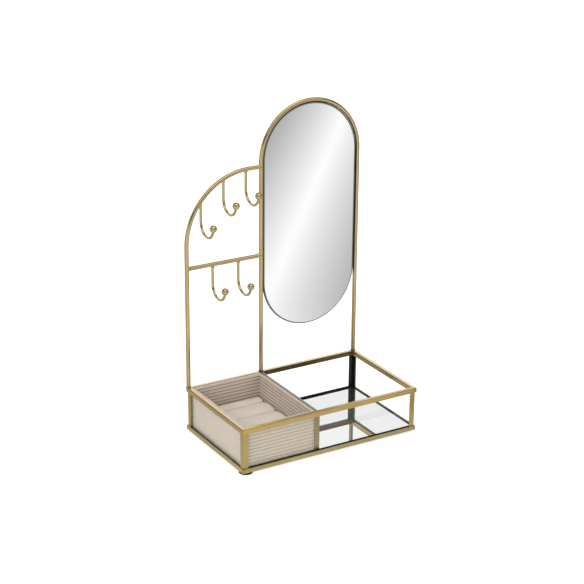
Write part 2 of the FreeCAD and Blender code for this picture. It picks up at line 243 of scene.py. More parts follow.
def rim_brass(place, tones, along, edge, width, paler, crease, inner, bay=None):
    """The brass of the rim's channel. Its flat top is painted pale under the thickest lacquer, a
    painted highlight; a thin line of painted shade lies along both bends, and the leg inside the box is
    darkened with painted shade, each by a share. To the left of a bay's end the rim is pale all over
    and has none of the painted shade."""
    look = brass(place, tones, along, 0.16, edge)
    x, y, z = place.axes()
    wide, deep, height = edge
    side = inset(x, y, wide, deep)
    drop = height - z
    # Painted highlight on the flat top
    top = 1.0 - drop.step(0.1 * mm, 0.4 * mm)
    from_bend = width / 2 - abs(side - width / 2)
    # Painted shade along both bends and on the leg inside the box
    bend = (1.0 - from_bend.step(0.25 * mm, 0.7 * mm)) * (1.0 - drop.step(0.7 * mm, 1.3 * mm))
    inside = side.step(width - 0.4 * mm, width - 0.1 * mm) * drop.step(0.3 * mm, 0.9 * mm)
    painted_shade = (crease * bend * drop.step(0.05 * mm, 0.3 * mm) + inner * inside).between(0.0, 1.0)
    highlight_share = paler * top
    # To the left of the bay's end: pale all over, without the painted shade
    if bay:
        open_side = x.step(bay - 2.0 * mm, bay)
        painted_shade = painted_shade * open_side
        highlight_share = highlight_share + (1.0 - paler) * (1.0 - open_side)
    pale = highlight_share.blend(look["Base Color"], pale_gold)
    look["Base Color"] = painted_shade.blend(pale, painted_shade_brown)
    look["Coat Weight"] = (0.30 + 1.4 * highlight_share).between(0.0, 1.0)
    look["Metallic"] = 1.0 - 0.12 * inside
    return look


def glued_post(reach):
    """The mask of a post's inner faces, where black adhesive holds the panes: those further in than
    the reach, the half width and half depth over the posts less nearly the sheet's thickness."""
    def mask(place):
        x, y, z = place.axes()
        return inset(x, y, *reach).step(0.0, 0.05 * mm)
    return mask


def thin_and_lit_at_back_left(place):
    """The mask of the back left post, where the adhesive was pressed out thin and the strip is painted
    pale, partly as painted light against the shade there.
    """
    x, y, z = place.axes()
    return (-1.0 * x).step(100 * mm, 101 * mm) * y.step(50 * mm, 51 * mm)


def within_mirror_reach(middle, low, high, reach):
    """The mask of places whose distance from the mirror's axis, an upright line between two heights, is
    less than the reach. On the arch it marks the inner side beside the mirror, which gets painted
    shade; on the mirror, the face inside the band of painted shade round its outline."""
    def mask(place):
        x, y, z = place.axes()
        beyond = z - z.between(low, high)
        gap = ((x - middle) * (x - middle) + beyond * beyond) ** 0.5
        return 1.0 - gap.step(reach - 0.5 * mm, reach + 0.5 * mm)
    return mask


def glass_film(place, marks):
    """The share of a glass face that reflects: 4 percent seen straight on, more at a slant as
    (1 - cosine) to the fifth power grows, and a little more on wipe marks."""
    slant = place.node("ShaderNodeLayerWeight", {}, {"Blend": 0.5}, "Facing")
    return (0.04 + 0.9 * slant ** 5.0 + 0.012 * marks).between(0.0, 1.0)


def clear_glass(place):
    """Thin float glass: a reflecting film with faint wipe marks over what lies behind it."""
    marks = place.noise(55.0, 4.0, 0.6, (1.0, 1.0, 0.35)).step(0.55, 0.9)
    return {
        "Base Color": marks.blend(glass_tint, (0.89, 0.92, 0.90)),
        "Metallic": 1.0,
        "Roughness": 0.015 + 0.05 * marks,
        "Alpha": glass_film(place, marks),
    }


def edge_glass(place, top, centre):
    """The divider: clear glass with a ground top edge. The edge is pale in the middle, ground glass
    with a painted highlight; at both arrises, and down into the faces some 2.6 millimetres below the
    top, it
    is darker: painted shade of the narrow gaps beside the divider."""
    x, y, z = place.axes()
    edge = z.step(top - 2.6 * mm, top - 1.9 * mm)
    middle = 1.0 - abs(x - centre).step(0.35 * mm, 0.75 * mm)
    film = glass_film(place, place.noise(60.0, 4.0).step(0.55, 0.9))
    # Painted shade at both arrises and a painted highlight in the middle of the ground edge
    grind = place.noise(1500.0, 2.0)
    arris = grind.blend((0.19, 0.165, 0.13), (0.29, 0.255, 0.205))
    ground = (0.8 * middle).blend(arris, (0.50, 0.46, 0.40))
    return {
        "Base Color": edge.blend(glass_tint, ground),
        "Metallic": 1.0 - edge,
        "Roughness": 0.02 + 0.30 * edge,
        "Alpha": film + edge * (0.85 - film),
    }


def silvered(place, bright, veil, bow=None, outline=None):
    """Silvered glass: nearly all mirror, with a veil of the glass's own scatter, thin dust and a few
    wipe marks. A bow, given as a height and a slope, tilts the plate's lowest part: below that height
    the surface stands forward by the slope times the gap squared. Near an outline, given as a mask,
    the plate is dark: painted shade where the mirror meets the arch."""
    dust = place.noise(420.0, 3.0, 0.7).step(0.66, 0.88)
    marks = place.noise(14.0, 4.0, 0.6, (1.0, 0.4, 1.0)).step(0.55, 0.9)
    look = {
        "Base Color": dust.blend(bright, dusty_silver),
        "Metallic": 1.0 - veil - 0.015 * dust,
        "Roughness": 0.010 + 0.010 * marks + 0.03 * dust,
    }
    # Painted shade: a dark band round the mirror's outline, where it meets the arch
    if outline:
        edge = 1.0 - outline(place)
        look["Base Color"] = edge.blend(look["Base Color"], outline_shade)
        look["Metallic"] = look["Metallic"] - 0.8 * edge
    if bow:
        height, slope = bow
        below = place.math("MAXIMUM", height - place.axes()[2], 0.0)
        look["Normal"] = (slope * below * below).bump(1.0)
    return look


def mirror_edge(place):
    """Ground glass edge, dark where it looks into the plate, with grinding lines."""
    grind = place.noise(900.0, 2.0)
    return {
        "Base Color": grind.blend((0.055, 0.060, 0.058), (0.12, 0.13, 0.125)),
        "Roughness": 0.22 + 0.2 * grind,
        "Normal": grind.bump(0.00003),
    }


def painted_back(place):
    """Brass-coloured paint on sheet steel, with a slight orange peel and rubbed patches."""
    peel = place.noise(700.0, 2.0)
    paler = place.noise(40.0, 4.0).step(0.55, 0.8)
    return {
        "Base Color": paler.blend((0.40, 0.30, 0.135), (0.45, 0.345, 0.165)),
        "Metallic": 0.5,
        "Roughness": 0.40 + 0.12 * paler,
        "Normal": peel.bump(0.00005, 0.5),
    }


def black_strip(place, rough, thin_and_lit=None):
    """Matt black strip with a fine grain and a little grey dust. Where it is thin, given as a mask,
    the brass under it shows through, in a pale tone that is partly painted light against the shade."""
    grain = place.noise(1400.0, 2.0)
    dust = place.noise(120.0, 4.0, 0.65).step(0.5, 0.8)
    colour = (0.3 * dust).blend((0.008, 0.008, 0.0075), (0.016, 0.016, 0.015))
    # Where thin, the brass shows through, painted pale against the shade
    if thin_and_lit:
        colour = thin_and_lit(place).blend(colour, brass_through_painted_light)
    return {
        "Base Color": colour,
        "Roughness": rough + 0.12 * grain,
        "Specular IOR Level": 0.25,
        "Normal": grain.bump(0.00004, 0.6),
    }


def velvet(place, dark, light, nap, fluff, ribs=None):
    """Short-pile velvet: fibres a few tenths of a millimetre wide, soft clouds where the nap is
    brushed the other way, and a sheen at a slant; fluff is how far the fibres stand up. Ribs, given as
    the height of the lowest one, their pitch, the height where they end and the tray's middle and
    half size, get painted shade in the grooves between them, weaker on the outer faces and weakest on
    the left. On the tray's outer faces, behind the panes, the pile is painted paler, most of all on
    the left: painted light."""
    fibre = place.noise(2600.0, 3.0, 0.65, nap)
    weave = place.noise(900.0, 2.0, 0.5, nap)
    clouds = place.noise(38.0, 4.0, 0.6)
    tone = (0.40 * fibre + 0.25 * weave + 0.35 * clouds).step(0.32, 0.68)
    pile = tone.blend(dark, light)
    if ribs:
        low, pitch, high, middle, half = ribs
        x, y, z = place.axes()
        depth = inset(x - middle[0], y - middle[1], half[0], half[1])
        outer = 1.0 - depth.step(0.9 * mm, 1.1 * mm)
        left = outer * (1.0 - (x - middle[0] + half[0]).step(0.9 * mm, 1.1 * mm))
        # Painted light: the outer faces paler, the left one most
        pile = left.blend(outer.blend(pile, outer_pile_painted_light), left_pile_painted_light)
        # Painted shade in the grooves, weaker on the outer faces and the left one
        across = abs(2.0 * z.math("FRACT", (z - low) / pitch) - 1.0)
        groove = across.step(0.66, 0.96) * (1.0 - z.step(high + 0.2 * mm, high + 0.9 * mm))
        pile = (groove * (0.88 - 0.33 * outer - 0.33 * left)).blend(pile, groove_shade)
    return {
        "Base Color": pile,
        "Roughness": 0.88 + 0.10 * fibre,
        "Specular IOR Level": 0.15,
        "Sheen Weight": 0.18,
        "Sheen Roughness": 0.45,
        "Normal": (fibre + 0.7 * weave).bump(0.00018, fluff),
    }


rim_low, rim_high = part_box("rim_front")
divider_low, divider_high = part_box("divider_glass")
half_width, half_depth = rim_high.x, -rim_low.y
rim_edge = (half_width, half_depth, rim_high.z)
base_edge = (half_width, half_depth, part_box("base_rail_front")[0].z)
along_x, along_y, along_z = (0.02, 1.0, 1.0), (1.0, 0.02, 1.0), (1.0, 1.0, 0.02)
rail_gold = ((0.665, 0.468, 0.168), (0.725, 0.518, 0.20))
# Painted shade: the front and back base rails get a darker gold than the left and right ones
shaded_front_back_gold = ((0.495, 0.40, 0.175), (0.545, 0.445, 0.205))
base_gold = ((0.575, 0.465, 0.195), (0.63, 0.52, 0.228))
post_gold = ((0.57, 0.42, 0.138), (0.63, 0.47, 0.165))
dull_gold = ((0.46, 0.365, 0.17), (0.53, 0.425, 0.205))
wire_gold = ((0.71, 0.535, 0.235), (0.78, 0.605, 0.295))
rim_facts = (rim_edge, rim_high.y - rim_low.y)
# Each side of the rim: brush direction, shares of painted highlight on the top, painted shade along the
# bends and painted shade on the inner leg, and a bay's end
rim_looks = {
    "front": (along_x, 0.02, 0.2, 0.85, None),
    "back": (along_x, 0.5, 0.7, 0.92, divider_low.x),
    "left": (along_y, 0.25, 1.0, 0.0, None),
    "right": (along_y, 0.5, 0.75, 0.22, None),
}
brass_rims = {
    side: finish_of("satin_brass_%s_rim" % side, rim_brass, rail_gold, along, *rim_facts, *shares)
    for side, (along, *shares) in rim_looks.items()
}
brass_base_x = finish_of("satin_brass_base_along_x", brass, shaded_front_back_gold, along_x, 0.28, base_edge)
brass_base_y = finish_of("satin_brass_base_along_y", brass, base_gold, along_y, 0.28, base_edge)
post_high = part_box("post_back_right")[1]
post_sheet = 0.65 * mm
post_reach = (post_high.x - post_sheet, post_high.y - post_sheet)
brass_z = finish_of(
    "satin_brass_upright", brass, post_gold, along_z, 0.28, None, None, glued_post(post_reach))
brass_dull = finish_of("dull_brass_channel", brass, dull_gold, along_z, 0.42)
even = (0.35, 0.35, 0.35)
# The wires get painted shade at their feet, on the rim's top
brass_bent = finish_of("satin_brass_wire", brass, wire_gold, even, 0.13, None, rim_high.z)
glass = finish_of("clear_float_glass", clear_glass)
divider_finish = finish_of(
    "divider_ground_glass", edge_glass, divider_high.z, (divider_low.x + divider_high.x) / 2)
floor_silver = finish_of("silvered_floor", silvered, (0.94, 0.945, 0.95), 0.025)
plate_low, plate_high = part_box("mirror_glass")
plate_radius = (plate_high.x - plate_low.x) / 2
plate_axis = (
    (plate_low.x + plate_high.x) / 2, plate_low.z + plate_radius, plate_high.z - plate_radius)
arch_low, arch_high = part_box("mirror_arch")
wire_radius = (arch_high.y - arch_low.y) / 2
arch_inside = (arch_high.x - arch_low.x) / 2 - 2 * wire_radius
plate_bow = (plate_low.z + 28 * mm, 0.68)
# Painted shade darkens the mirror's face within 1.8 mm of its outline
stand_silver = finish_of(
    "silvered_stand_mirror", silvered, (0.97, 0.975, 0.98), 0.015, plate_bow,
    within_mirror_reach(*plate_axis, plate_radius - 1.8 * mm))
# The arch gets painted shade on its inner side beside the mirror and at its feet
brass_arch = finish_of(
    "satin_brass_arch", brass, wire_gold, even, 0.13, None, rim_high.z,
    within_mirror_reach(*plate_axis, arch_inside + 0.9 * mm))
ground_edge = finish_of("ground_mirror_edge", mirror_edge)
back_paint = finish_of("brass_paint_on_steel", painted_back)
seal_black = finish_of("black_sealing_bead", black_strip, 0.42)
# The back left post's strip is painted paler where thin: partly painted light
post_seal_black = finish_of("black_sealing_strip", black_strip, 0.42, thin_and_lit_at_back_left)
board_black = finish_of("black_faced_board", black_strip, 0.6)
foot_black = finish_of("black_rubber_pad", black_strip, 0.55)
tray_low = np.array(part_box("tray_wall_left")[0])
tray_high = np.array(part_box("tray_wall_right")[1])
lip = 3.6 * mm
rib_count = 11
rib_pitch = (tray_high[2] - lip - tray_low[2]) / rib_count
tray_middle, tray_half = (tray_low + tray_high) / 2, (tray_high - tray_low) / 2
rib_facts = (tray_low[2], rib_pitch, tray_high[2] - lip, tray_middle, tray_half)
rib_velvet = finish_of(
    "ribbed_velvet", velvet, (0.52, 0.435, 0.365), (0.64, 0.555, 0.475), (1.0, 1.0, 0.5), 0.12,
    rib_facts)
pad_velvet = finish_of(
    "ring_pad_velvet", velvet, (0.70, 0.61, 0.52), (0.81, 0.73, 0.64), (0.6, 1.0, 1.0), 0.5)


# Surfaces

up_axis = np.array((0.0, 0.0, 1.0))


def solid(name, shells, ladder=False):
    """A mesh of closed shells. Each shell is an array of rings of points; quads join ring to ring all
    round. The two ends close with a fan to the ring's mean, or, as a ladder, with quads from each
    point to the one opposite it in the ring."""
    points, faces, base = [], [], 0
    for rings in shells:
        n, m = rings.shape[:2]
        around = np.arange(m)
        after = np.roll(around, -1)
        row = np.arange(n - 1)[:, None] * m
        quads = np.stack([row + around, row + after, row + m + after, row + m + around], -1)
        quads = quads.reshape(-1, 4)
        last = (n - 1) * m
        cloud = rings.reshape(-1, 3)
        if ladder:
            step = np.arange(m // 2 - 1)
            cap = np.stack([m - 1 - step, m - 2 - step, step + 1, step], -1)
            ends = np.concatenate([cap[:, ::-1], last + cap])
        else:
            cloud = np.concatenate([cloud, rings[[0, -1]].mean(1)])
            first = np.stack([after, around, np.full(m, n * m)], -1)
            final = np.stack([last + around, last + after, np.full(m, n * m + 1)], -1)
            ends = np.concatenate([first, final])
        a, b, c, d = (cloud[quads[:, k]] - cloud.mean(0) for k in range(4))
        volume = (np.cross(a, b) * c).sum() + (np.cross(a, c) * d).sum()
        if volume < 0:
            quads = quads[:, ::-1]
            ends = ends[:, ::-1]
        points.append(cloud)
        faces += (quads + base).tolist() + (ends + base).tolist()
        base += len(cloud)
    mesh = bpy.data.meshes.new(name)
    mesh.from_pydata(np.concatenate(points).tolist(), [], faces)
    mesh.validate()
    piece = bpy.data.objects.new(name, mesh)
    bpy.context.scene.collection.objects.link(piece)
    return piece


def smooth(piece, angle=None):
    """Smooth shading, with edges sharper than the angle left crisp."""
    mesh = piece.data
    mesh.polygons.foreach_set("use_smooth", np.ones(len(mesh.polygons), dtype=bool))
    if angle:
        mesh.set_sharp_from_angle(angle=math.radians(angle))
    mesh.update()


def settle(piece, body, slot, material, *nodes):
    """Puts a finished piece on its body, in its finish, in place of CAD nodes."""
    piece.data.materials.append(material)
    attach(piece, body)
    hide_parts(*nodes)


def line_run(start, end, count):
    """Points evenly spaced on a straight line."""
    share = np.linspace(0.0, 1.0, count)[:, None]
    return np.asarray(start) * (1 - share) + np.asarray(end) * share


def arc_run(centre, first, second, angle, count):
    """Points on an arc: centre + cos(a) * first + sin(a) * second, a from 0 to the angle."""
    a = np.linspace(0.0, angle, count)[:, None]
    return np.asarray(centre) + np.cos(a) * np.asarray(first) + np.sin(a) * np.asarray(second)


def wire(path, side, radius, swell, sides=28):
    """A round wire: at each point of a flat path stands a circle in the plane of the path's side
    vector and its normal. Its radius is the wire's plus a solder swell, which adds a share
    that falls off as exp(-distance / reach) from each joint, given as (arc length, share, reach)."""
    step = np.linalg.norm(np.diff(path, axis=0), axis=1)
    length = np.concatenate([[0.0], np.cumsum(step)])
    keep = np.concatenate([[True], step > 1e-9])
    path, length = path[keep], length[keep]
    tangent = np.gradient(path, length, axis=0)
    tangent /= np.linalg.norm(tangent, axis=1)[:, None]
    side = np.asarray(side, dtype=float)
    normal = np.cross(tangent, side)
    grown = np.full(len(path), radius)
    for place, share, reach in swell:
        grown = grown + radius * share * np.exp(-np.abs(length - place % length[-1]) / reach)
    turn = np.linspace(0.0, 2 * math.pi, sides, endpoint=False)
    ring = np.cos(turn)[None, :, None] * normal[:, None] + np.sin(turn)[None, :, None] * side
    return path[:, None] + grown[:, None, None] * ring


# Wire stand

stand_y = (arch_high.y + arch_low.y) / 2
arch_radius = arch_inside + wire_radius
arch_x = (arch_high.x + arch_low.x) / 2
arch_z = arch_high.z - wire_radius - arch_radius
left_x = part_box("left_upright")[0].x + wire_radius
middle_x = arch_x - arch_radius
right_x = arch_x + arch_radius
bend_radius = 84.5 * mm
run_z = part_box("left_upright")[1].z - wire_radius
bend_z = run_z - bend_radius
bend_x = left_x + bend_radius
# A soldered joint: the share by which the wire swells, and the reach of the swell
foot_solder = (0.30, 1.1 * mm)
run_solder = (0.22, 0.9 * mm)
bar_solder = (0.30, 0.9 * mm)
hook_solder = (0.40, 1.0 * mm)
ball_solder = (0.25, 0.5 * mm)
at_end = -1e-6
box_low, box_high = (np.array(corner) for corner in cad_box)


def brass_wire(name, rings, material, *nodes):
    """A wire of the stand, its solder kept inside the object's box."""
    piece = solid(name, [np.clip(shell, box_low, box_high) for shell in rings])
    smooth(piece, 60)
    settle(piece, "box", "brass", material, *nodes)


foot_z = rim_high.z - 0.3 * mm


def leg_run(x, top, count):
    """Points up a leg of the stand, close together over its soldered foot."""
    fine = foot_z + 12 * mm
    return np.concatenate([
        line_run((x, stand_y, foot_z), (x, stand_y, fine), 40),
        line_run((x, stand_y, fine + 1 * mm), (x, stand_y, top), count)])


arch_path = np.concatenate([
    leg_run(middle_x, arch_z, 30),
    arc_run((arch_x, stand_y, arch_z), (-arch_radius, 0, 0), (0, 0, arch_radius), math.pi, 160),
    leg_run(right_x, arch_z, 30)[::-1]])
arch_swell = [(0.0, *foot_solder), (at_end, *foot_solder)]
arch_rings = wire(arch_path, (0, 1, 0), wire_radius, arch_swell)
brass_wire("bent_mirror_arch", [arch_rings], brass_arch, "mirror_arch")

upright_path = np.concatenate([
    leg_run(left_x, bend_z, 40),
    arc_run((bend_x, stand_y, bend_z), (-bend_radius, 0, 0), (0, 0, bend_radius), math.pi / 2, 110),
    line_run((bend_x + 0.5 * mm, stand_y, run_z), (middle_x, stand_y, run_z), 60)])
upright_swell = [(0.0, *foot_solder), (-wire_radius, *run_solder)]
upright_rings = wire(upright_path, (0, 1, 0), wire_radius, upright_swell)
brass_wire("bent_left_upright", [upright_rings], brass_bent, "left_upright")

bar_low, bar_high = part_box("cross_bar")
bar_z = (bar_low.z + bar_high.z) / 2
bar_radius = (bar_high.z - bar_low.z) / 2
bar_path = line_run((left_x, stand_y, bar_z), (middle_x, stand_y, bar_z), 160)
bar_swell = [(wire_radius, *bar_solder), (-wire_radius, *bar_solder)]
bar_rings = wire(bar_path, (0, 1, 0), bar_radius, bar_swell)
brass_wire("straight_cross_bar", [bar_rings], brass_bent, "cross_bar")

hook_stem = 24 * mm
hook_radius = 15.4 * mm
hook_sweep = math.radians(178)
hook_fullness = 1.1
bead_radius = 4.4 * mm


def ball(centre, radius):
    """A ball as rings from pole to pole: cos(rise) times a circle, sin(rise) up."""
    rise = np.linspace(-1.0, 1.0, 41)[1:-1, None] * math.pi / 2
    spin = np.linspace(0.0, 2 * math.pi, 40, endpoint=False)[None, :]
    upward = np.sin(rise) * np.ones_like(spin)
    shape = np.stack([np.cos(rise) * np.cos(spin), np.cos(rise) * np.sin(spin), upward], -1)
    return np.asarray(centre) + radius * shape


balls = []
for node in ("hook_upper_1", "hook_upper_2", "hook_upper_3", "hook_lower_1", "hook_lower_2"):
    low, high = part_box(node)
    hook_x = (low.x + high.x) / 2
    hook_wire = (high.x - low.x) / 2
    turn_z = low.z + hook_radius + hook_wire
    carrier = wire_radius if "upper" in node else bar_radius
    centre = (hook_x, stand_y - hook_radius, turn_z)
    path = np.concatenate([
        line_run((hook_x, stand_y, turn_z + hook_stem), (hook_x, stand_y, turn_z + 0.5 * mm), 70),
        arc_run(centre, (0, hook_radius, 0), (0, 0, -hook_radius), hook_sweep, 70)])
    swell = [(carrier, *hook_solder), (-bead_radius, *ball_solder)]
    hook_rings = wire(path, (1, 0, 0), hook_fullness * hook_wire, swell, 22)
    brass_wire("bent_" + node, [hook_rings], brass_bent, node)
    balls.append(ball(path[-1], bead_radius))
brass_wire("hook_end_balls", balls, brass_bent, "hook_beads")


# Stand mirror

def capsule_ring(radius, y, low, high, count=96):
    """An upright outline with half-round ends: an arc over the upper centre, one under the lower."""
    over = arc_run((arch_x, y, high), (-radius, 0, 0), (0, 0, radius), math.pi, count)
    under = arc_run((arch_x, y, low), (radius, 0, 0), (0, 0, -radius), math.pi, count)
    return np.concatenate([over, under])


plate_gap = 0.1 * mm
fitted_radius = arch_inside - plate_gap
plate_bottom = plate_low.z + fitted_radius
plate_depth = plate_high.y - plate_low.y
bevel = 1.0 * mm
arris = 0.1 * mm
# Each outline of the plate, from its face to its back: how far in from the edge, and how deep
steps = (
    (bevel, 0.0), (0.06 * mm, 0.92 * mm), (0.0, bevel),
    (0.0, plate_depth - arris), (arris, plate_depth))
plate_rings = np.stack([
    capsule_ring(fitted_radius - narrower, plate_low.y + depth, plate_bottom, arch_z)
    for narrower, depth in steps])
plate = solid("bevelled_stand_mirror", [plate_rings])
smooth(plate, 12)
settle(plate, "box", "mirror", stand_silver, "mirror_glass")
plate.data.materials.append(ground_edge)
faces = plate.data.polygons
normals = np.empty(len(faces) * 3)
faces.foreach_get("normal", normals)
faces.foreach_set("material_index", (normals.reshape(-1, 3)[:, 1] > -0.999).astype(np.int32))


# Ribbed tray

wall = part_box("tray_wall_left")[1].x - tray_low[0]
rib_depth = 0.7 * mm


def rib_section(count=15):
    """Section of a wall, up its outer face and down its inner one. Each rib bulges by
    (1 - |w| ** 2.6) ** 0.55, w running from -1 to 1 across the rib, so that the grooves between
    them are sharp; over the ribs stands a rounded lip."""
    bottom, top = tray_low[2], tray_high[2]
    w = np.linspace(-1.0, 1.0, count)
    bulge = np.maximum(1.0 - np.abs(w) ** 2.6, 0.0) ** 0.55
    height = (bottom + rib_pitch * (np.arange(rib_count)[:, None] + (w[None, :-1] + 1) / 2)).ravel()
    depth = np.tile(rib_depth * (1.0 - bulge[:-1]), rib_count)
    a = np.linspace(0.0, math.pi / 2, 14)
    lip_bottom = top - lip
    swell = np.linspace(-1.0, 1.0, 13)
    band = lip - wall / 2
    lip_height = np.concatenate([
        lip_bottom + band * (swell + 1) / 2, top - wall / 2 + wall / 2 * np.sin(a[1:])])
    lip_depth = np.concatenate([
        0.8 * rib_depth * np.maximum(-swell, 0.0) ** 3, wall / 2 - wall / 2 * np.cos(a[1:])])
    lip_depth[-1] -= 0.02 * mm
    return np.concatenate([height, lip_height]), np.concatenate([depth, lip_depth])


def tray_wall(side, corner, along, inwards, length):
    """A mitred wall: the section is carried along the wall, its ends cut back by its own depth. The
    ribs wander by a few hundredths of a millimetre, as two sines of the length."""
    height, depth = rib_section()
    height = np.concatenate([height, height[::-1]])
    depth = np.concatenate([depth, wall - depth[::-1]])
    share = np.linspace(0.0, 1.0, 120)[:, None]
    reach = depth + share * (length - 2 * depth)
    calm = np.sin(math.pi * share) ** 0.3
    waves = 0.03 * np.sin(150 * reach + 9 * height / wall) + 0.02 * np.sin(410 * reach + 2.0)
    wander = calm * waves * mm
    inside = (height > tray_low[2] + 2 * mm) * (height < tray_high[2] - lip)
    rise = height + wander * inside
    spot = np.asarray(corner) + reach[..., None] * np.asarray(along)
    spot = spot + depth[None, :, None] * np.asarray(inwards) + rise[..., None] * up_axis
    piece = solid("ribbed_wall_" + side, [spot], ladder=True)
    smooth(piece, 70)
    settle(piece, "tray", "ribbed_fabric", rib_velvet, "tray_wall_" + side)


tray_left, tray_front = tray_low[:2]
tray_right, tray_back = tray_high[:2]
tray_width, tray_length = tray_right - tray_left, tray_back - tray_front
tray_wall("front", (tray_left, tray_front, 0), (1, 0, 0), (0, 1, 0), tray_width)
tray_wall("right", (tray_right, tray_front, 0), (0, 1, 0), (-1, 0, 0), tray_length)
tray_wall("back", (tray_right, tray_back, 0), (-1, 0, 0), (0, -1, 0), tray_width)
tray_wall("left", (tray_left, tray_back, 0), (0, -1, 0), (1, 0, 0), tray_length)


# Ring cushion

def foam_strip(low, high, crown, ends):
    """A foam strip before its cover is drawn on: a section with a flat foot, straight sides and a
    crown that follows 1 - |w| ** 2.2 across the strip, which shrinks towards its ends as the root
    of 1 - (1 - distance / rounding) ** 2."""
    across = np.linspace(-1.0, 1.0, 25)
    wide, tall = (high[1] - low[1]) / 2, high[2] - low[2]
    top = tall - crown * np.abs(across) ** 2.2
    side = np.linspace(0.0, 1.0, 8)[1:-1]
    flank = np.full(len(side), wide)
    section_y = np.concatenate([across * wide, flank, across[::-1] * wide, -flank])
    section_z = np.concatenate([
        top, (tall - crown) * (1 - side), np.zeros(len(across)), (tall - crown) * side])
    run = np.linspace(0.0, 1.0, 61)
    run = (1 - np.cos(math.pi * run)) / 2
    x = low[0] + (high[0] - low[0]) * run
    near = np.minimum(x - low[0], high[0] - x)
    shrink = np.sqrt(1 - (1 - np.clip(near / ends, 0.0, 1.0)) ** 2)
    narrow = 1 - (1 - shrink) * np.minimum(ends / wide, 0.5)
    lower = 1 - (1 - shrink) * ends / tall
    middle = (low[1] + high[1]) / 2
    rings = np.empty((len(x), len(section_y), 3))
    rings[..., 0] = x[:, None]
    rings[..., 1] = middle + narrow[:, None] * section_y
    rings[..., 2] = low[2] + lower[:, None] * section_z
    return rings


def drawn_cover(name, rings, voxel, travel, low, high):
    """Cloth drawn over a foam strip: the strip is remeshed, swells under pressure for some frames with
    its foot held, and no point ends further from its start than the travel or outside its room."""
    frames = 20
    start = solid(name + "_foam", [rings])
    remesh = start.modifiers.new("even", "REMESH")
    remesh.mode = "VOXEL"
    remesh.voxel_size = voxel
    graph = bpy.context.evaluated_depsgraph_get()
    mesh = bpy.data.meshes.new_from_object(start.evaluated_get(graph))
    bpy.data.objects.remove(start)
    mesh.name = name
    cover = bpy.data.objects.new(name, mesh)
    bpy.context.scene.collection.objects.link(cover)
    count = len(mesh.vertices)
    before = np.empty(count * 3)
    mesh.vertices.foreach_get("co", before)
    before = before.reshape(-1, 3)
    after = before.copy()
    held = cover.vertex_groups.new(name="foot")
    held.add(np.flatnonzero(before[:, 2] < low[2] + 1.5 * voxel).tolist(), 1.0, "REPLACE")
    cloth = cover.modifiers.new("cover", "CLOTH")
    cloth.settings.vertex_group_mass = "foot"
    cloth.settings.use_pressure = True
    cloth.settings.uniform_pressure_force = 4.0
    cloth.settings.quality = 5
    cloth.settings.tension_stiffness = 12.0
    cloth.settings.compression_stiffness = 12.0
    cloth.settings.bending_stiffness = 0.6
    cloth.settings.effector_weights.gravity = 0.0
    cloth.collision_settings.use_collision = False
    cloth.point_cache.frame_start = 1
    cloth.point_cache.frame_end = frames
    scene = bpy.context.scene
    for step in range(1, frames + 1):
        scene.frame_set(step)
    graph = bpy.context.evaluated_depsgraph_get()
    drawn = bpy.data.meshes.new_from_object(cover.evaluated_get(graph))
    flat = np.empty(count * 3)
    drawn.vertices.foreach_get("co", flat)
    after = flat.reshape(-1, 3)
    scene.frame_set(1)
    cover.modifiers.clear()
    cover.vertex_groups.clear()
    bpy.data.meshes.remove(drawn)
    moved = after - before
    far = np.linalg.norm(moved, axis=1)[:, None]
    moved *= np.minimum(1.0, travel / np.maximum(far, 1e-9))
    mesh.vertices.foreach_set("co", np.clip(before + moved, low, high).ravel())
    subdivide = cover.modifiers.new("soft", "SUBSURF")
    subdivide.levels = subdivide.render_levels = 1
    smooth(cover)
    return cover


pad_count = 5
pad_crown = 2.0 * mm
pad_rounding = 4.0 * mm
cover_voxel = 1.9 * mm
cover_travel = 1.2 * mm
# Room left for the cover to swell into, at the sides and on top
side_room = np.array((0.5, 0.5, 0.0)) * mm
top_room = np.array((0, 0, 0.4)) * mm
for i in range(1, pad_count + 1):
    node = "ring_pad_%d" % i
    low, high = (np.array(corner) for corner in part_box(node))
    rings = foam_strip(low + side_room, high - side_room - top_room, pad_crown, pad_rounding)
    pad = drawn_cover("velvet_" + node, rings, cover_voxel, cover_travel, low, high)
    settle(pad, "cushion", "pad_fabric", pad_velvet, node)


# Feet

def domed_foot(centre, radius, height):
    """A rubber pad turned about its upright axis: a flat sole, a bulged side and a flat top, its radius
    0.93 + 0.07 * sin(a) and its height (1 - cos(a)) / 2 of the whole, a from 0 to a half turn."""
    a = np.linspace(0.0, math.pi, 12)
    r = np.concatenate([[0.55, 0.80], 0.93 + 0.07 * np.sin(a), [0.6]]) * radius
    z = np.concatenate([[0.0, 0.0], (1 - np.cos(a)) / 2, [1.0]]) * height
    spin = np.linspace(0.0, 2 * math.pi, 48, endpoint=False)
    rings = np.empty((len(r), len(spin), 3))
    rings[..., 0] = centre[0] + r[:, None] * np.cos(spin)
    rings[..., 1] = centre[1] + r[:, None] * np.sin(spin)
    rings[..., 2] = z[:, None]
    return rings


feet_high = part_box("rubber_feet")[1]
foot_radius = 8.5 * mm
foot_x, foot_y = feet_high.x - foot_radius, feet_high.y - foot_radius
foot_places = np.array(((-foot_x, -foot_y), (foot_x, -foot_y), (foot_x, foot_y), (-foot_x, foot_y)))
# How far each foot was stuck on away from its place; the photo shows the front left one alone
foot_slips = np.array(((0.0, 0.0), (-2.5, 7.0), (-4.0, -3.0), (4.5, -1.5))) * mm
feet = solid("domed_feet", [
    domed_foot(spot, foot_radius, feet_high.z) for spot in foot_places + foot_slips])
smooth(feet, 50)
settle(feet, "box", "foot_rubber", foot_black, "rubber_feet")


# Sealing beads

